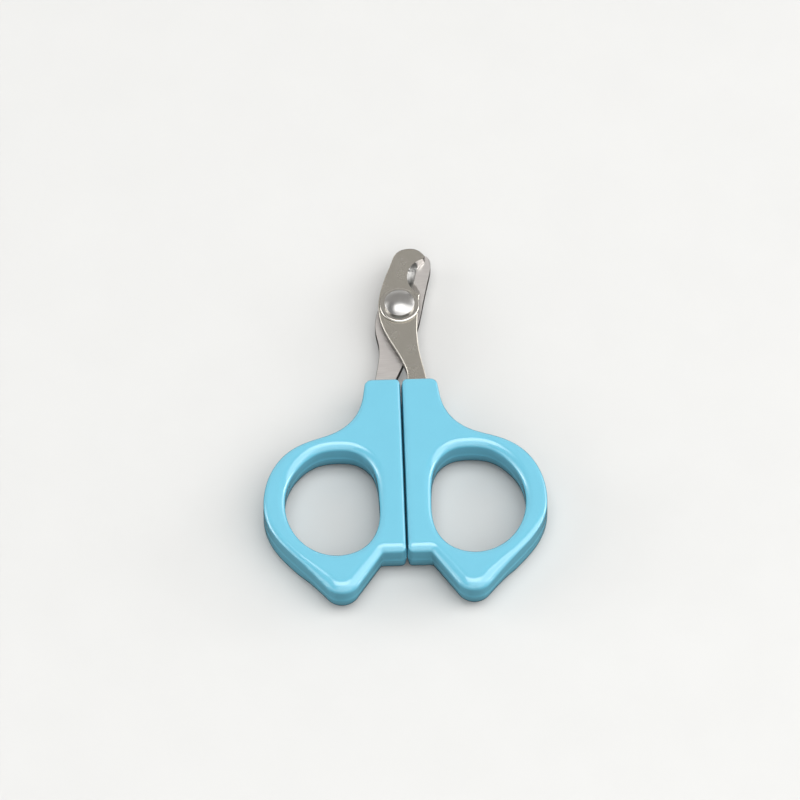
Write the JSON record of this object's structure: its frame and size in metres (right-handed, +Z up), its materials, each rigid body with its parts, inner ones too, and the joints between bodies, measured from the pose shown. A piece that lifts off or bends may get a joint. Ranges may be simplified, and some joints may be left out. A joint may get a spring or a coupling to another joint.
{
  "type": "pet nail scissors",
  "caption": "Small pet nail scissors with half-moon notched steel blades, a domed rivet pivot and moulded plastic finger-loop handles, shown closed.",
  "frame": {"origin": "middle of the overall box of the closed scissors, on the plane that the handles lie on", "axes": "+Y runs from the finger loops to the blade noses, +Z is up along the pivot's axis, and +X is towards the right handle, which carries the front blade"},
  "size_m": [0.0634, 0.0904, 0.0094],
  "materials": {
    "handle_plastic": "gloss",
    "blade_steel": "satin",
    "rivet_steel": "polished"
  },
  "bodies": {
    "left_half": {"left_handle": "handle_plastic", "rear_blade": "blade_steel", "pivot_rivet": "rivet_steel", "head_washer": "rivet_steel"},
    "right_half": {"right_handle": "handle_plastic", "front_blade": "blade_steel"}
  },
  "joints": [
    {"name": "pivot", "type": "hinge", "parent": "left_half", "child": "right_half", "pos_m": [0.0004, 0.03025, 0.0047], "axis": [0, 0, 1], "range_deg": [0, 55]}
  ]
}
